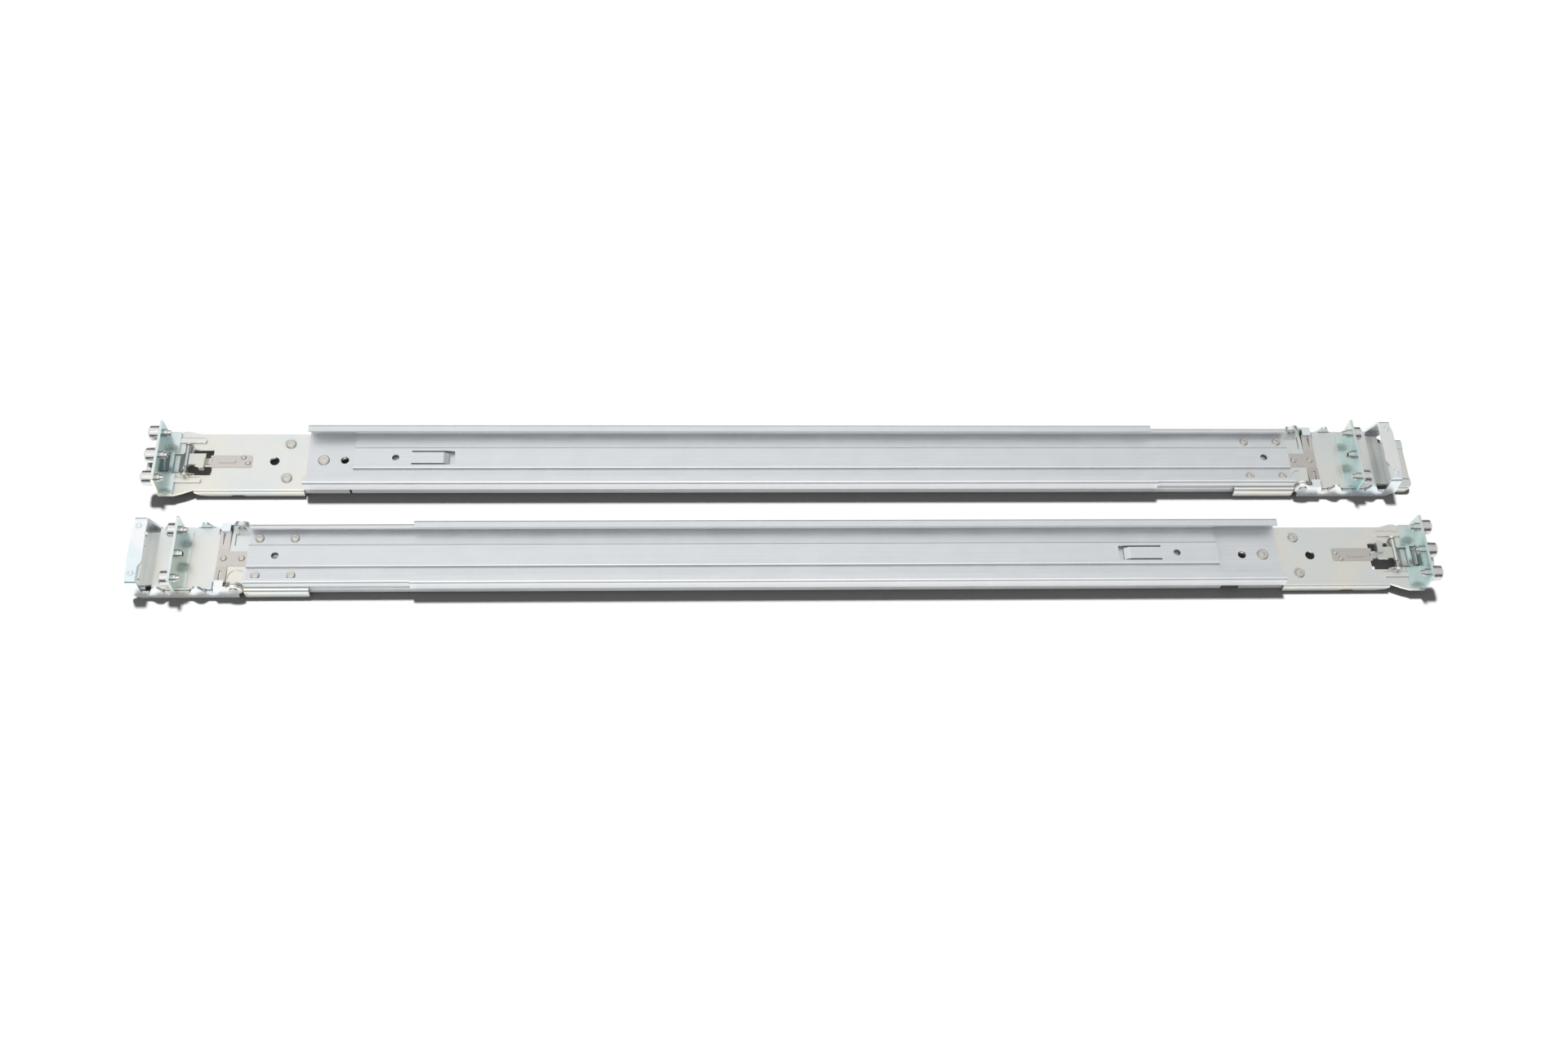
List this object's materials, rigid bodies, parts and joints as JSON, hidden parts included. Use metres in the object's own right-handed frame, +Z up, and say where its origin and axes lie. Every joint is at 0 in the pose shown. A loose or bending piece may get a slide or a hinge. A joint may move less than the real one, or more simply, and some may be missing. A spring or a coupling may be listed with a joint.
{
  "type": "sliding server rail pair",
  "caption": "Telescopic ball-bearing server rails with rack-post brackets: locating plugs, a sprung U-shaped front lever, a rear spring catch and a length-adjusting channel.",
  "frame": {"origin": "centre of the pair seen from above, on the surface it lies on", "axes": "+X along the rails, towards the front of the left-hand rail; +Y across, towards the left-hand rail; +Z up, away from the servers' side"},
  "size_m": [0.7828, 0.1144, 0.0232],
  "materials": {
    "channel_zinc": "satin electro-zinc plated cold-rolled steel",
    "slide_zinc": "zinc plated roll-formed steel",
    "cap_zinc": "zinc plated steel cap",
    "cage_steel": "plain zinc plated thin sheet",
    "ball_steel": "polished bearing steel",
    "bracket_zinc": "bright zinc plated stamped steel",
    "face_zinc": "bright zinc plated steel with a faint blue cast",
    "lever_zinc": "bright zinc plated stamped steel",
    "latch_zinc": "bright zinc plated stamped steel",
    "plug_nickel": "bright nickel plated turned steel",
    "spring_steel": "bare spring steel strip and wire",
    "rivet_steel": "plain steel rivet",
    "pin_steel": "plain steel pin"
  },
  "bodies": {
    "rail_frames": {"left_front_channel": "channel_zinc", "left_front_bracket": "bracket_zinc", "left_front_face": "face_zinc", "left_front_plugs": "plug_nickel", "left_front_insert": "plug_nickel", "left_front_leaf_spring": "spring_steel", "left_slide_outer_member": "slide_zinc", "right_front_channel": "channel_zinc", "right_front_bracket": "bracket_zinc", "right_front_face": "face_zinc", "right_front_plugs": "plug_nickel", "right_front_insert": "plug_nickel", "right_front_leaf_spring": "spring_steel", "right_slide_outer_member": "slide_zinc", "front_bracket_rivets": "rivet_steel", "front_leaf_rivets": "rivet_steel", "front_lever_pins": "pin_steel"},
    "left_rear_end": {"left_rear_channel": "channel_zinc", "left_rear_bracket": "bracket_zinc", "left_rear_strap": "bracket_zinc", "left_rear_rivets": "rivet_steel", "left_rear_face": "face_zinc", "left_rear_plugs": "plug_nickel", "left_rear_latch_pin": "pin_steel", "left_rear_torsion_spring": "spring_steel", "left_rear_leaf_spring": "spring_steel", "left_rear_leaf_rivets": "rivet_steel"},
    "left_rear_catch": {"left_rear_latch": "latch_zinc"},
    "left_lever": {"left_front_lever": "lever_zinc", "left_jaw_plate": "lever_zinc", "left_jaw_rivets": "rivet_steel"},
    "left_middle_slide": {"left_slide_middle_member": "slide_zinc", "left_slide_stop_cap": "cap_zinc"},
    "left_outer_ball_cage": {"left_slide_outer_cage": "cage_steel", "left_slide_outer_balls": "ball_steel"},
    "left_inner_slide": {"left_slide_inner_member": "slide_zinc"},
    "left_inner_ball_cage": {"left_slide_inner_cage": "cage_steel", "left_slide_inner_balls": "ball_steel"},
    "right_rear_end": {"right_rear_channel": "channel_zinc", "right_rear_bracket": "bracket_zinc", "right_rear_strap": "bracket_zinc", "right_rear_rivets": "rivet_steel", "right_rear_face": "face_zinc", "right_rear_plugs": "plug_nickel", "right_rear_latch_pin": "pin_steel", "right_rear_torsion_spring": "spring_steel", "right_rear_leaf_spring": "spring_steel", "right_rear_leaf_rivets": "rivet_steel"},
    "right_rear_catch": {"right_rear_latch": "latch_zinc"},
    "right_lever": {"right_front_lever": "lever_zinc", "right_jaw_plate": "lever_zinc", "right_jaw_rivets": "rivet_steel"},
    "right_middle_slide": {"right_slide_middle_member": "slide_zinc", "right_slide_stop_cap": "cap_zinc"},
    "right_outer_ball_cage": {"right_slide_outer_cage": "cage_steel", "right_slide_outer_balls": "ball_steel"},
    "right_inner_slide": {"right_slide_inner_member": "slide_zinc"},
    "right_inner_ball_cage": {"right_slide_inner_cage": "cage_steel", "right_slide_inner_balls": "ball_steel"}
  },
  "joints": [
    {"name": "left_rear_end_slide", "type": "slide", "parent": "rail_frames", "child": "left_rear_end", "axis": [-1, 0, 0], "range_m": [-0.001, 0.2]},
    {"name": "left_rear_catch_hinge", "type": "hinge", "parent": "left_rear_end", "child": "left_rear_catch", "pos_m": [-0.3678, 0.0345, 0.0096], "axis": [0, -1, 0], "range_deg": [0, 9], "stiffness_Nm_per_rad": 0.15, "springref_deg": -14.32, "deforming": ["left_rear_leaf_spring"]},
    {"name": "left_lever_hinge", "type": "hinge", "parent": "rail_frames", "child": "left_lever", "pos_m": [0.3189, 0.0345, 0.0092], "axis": [0, 1, 0], "range_deg": [0, 11], "stiffness_Nm_per_rad": 0.5, "springref_deg": -11.46, "deforming": ["left_front_leaf_spring"]},
    {"name": "left_middle_slide_out", "type": "slide", "parent": "rail_frames", "child": "left_middle_slide", "axis": [1, 0, 0], "range_m": [-0.0102, 0.25]},
    {"name": "left_outer_cage_roll", "type": "slide", "parent": "rail_frames", "child": "left_outer_ball_cage", "axis": [1, 0, 0], "range_m": [-0.0051, 0.125]},
    {"name": "left_inner_slide_out", "type": "slide", "parent": "left_middle_slide", "child": "left_inner_slide", "axis": [1, 0, 0], "range_m": [0, 0.25]},
    {"name": "left_inner_cage_roll", "type": "slide", "parent": "left_middle_slide", "child": "left_inner_ball_cage", "axis": [1, 0, 0], "range_m": [0, 0.125]},
    {"name": "right_rear_end_slide", "type": "slide", "parent": "rail_frames", "child": "right_rear_end", "axis": [1, 0, 0], "range_m": [-0.0108, 0.1902]},
    {"name": "right_rear_catch_hinge", "type": "hinge", "parent": "right_rear_end", "child": "right_rear_catch", "pos_m": [0.3678, -0.0333, 0.0096], "axis": [0, 1, 0], "range_deg": [0, 9], "stiffness_Nm_per_rad": 0.15, "springref_deg": -14.32, "deforming": ["right_rear_leaf_spring"]},
    {"name": "right_lever_hinge", "type": "hinge", "parent": "rail_frames", "child": "right_lever", "pos_m": [-0.3287, -0.0333, 0.0092], "axis": [0, -1, 0], "range_deg": [0, 11], "stiffness_Nm_per_rad": 0.5, "springref_deg": -11.46, "deforming": ["right_front_leaf_spring"]},
    {"name": "right_middle_slide_out", "type": "slide", "parent": "rail_frames", "child": "right_middle_slide", "axis": [-1, 0, 0], "range_m": [0, 0.25]},
    {"name": "right_outer_cage_roll", "type": "slide", "parent": "rail_frames", "child": "right_outer_ball_cage", "axis": [-1, 0, 0], "range_m": [0, 0.125]},
    {"name": "right_inner_slide_out", "type": "slide", "parent": "right_middle_slide", "child": "right_inner_slide", "axis": [-1, 0, 0], "range_m": [0, 0.25]},
    {"name": "right_inner_cage_roll", "type": "slide", "parent": "right_middle_slide", "child": "right_inner_ball_cage", "axis": [-1, 0, 0], "range_m": [0, 0.125]}
  ],
  "couplings": [
    {"joint": "left_outer_cage_roll", "follows": "left_middle_slide_out", "ratio": 0.5},
    {"joint": "left_inner_cage_roll", "follows": "left_inner_slide_out", "ratio": 0.5},
    {"joint": "right_outer_cage_roll", "follows": "right_middle_slide_out", "ratio": 0.5},
    {"joint": "right_inner_cage_roll", "follows": "right_inner_slide_out", "ratio": 0.5}
  ]
}
